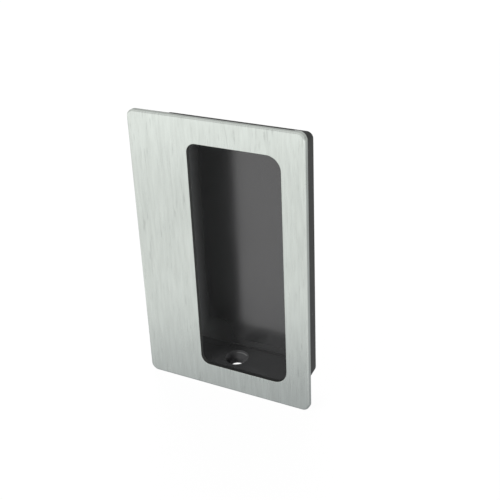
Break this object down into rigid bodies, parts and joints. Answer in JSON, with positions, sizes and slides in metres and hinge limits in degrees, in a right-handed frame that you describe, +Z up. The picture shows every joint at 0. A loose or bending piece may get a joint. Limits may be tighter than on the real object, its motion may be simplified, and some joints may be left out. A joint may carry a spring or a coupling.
{
  "type": "recessed pull handle",
  "caption": "Recessed pull handle: a flat brushed face plate with an offset finger opening over a black cup that sinks into the door and is screwed through its end walls.",
  "frame": {"origin": "centre of the face plate's back face, in the plane of the door's surface, at the middle of the mouth of the pocket cut in the door", "axes": "+X to the right as the door is faced, +Y into the door, +Z up along the plate's long side"},
  "size_m": [0.0766, 0.02, 0.12],
  "materials": {
    "brushed_plate": "satin, brushed along its length",
    "black_cup": "satin black"
  },
  "bodies": {
    "root": {"face_plate": "brushed_plate", "cup_body": "black_cup"}
  },
  "joints": []
}
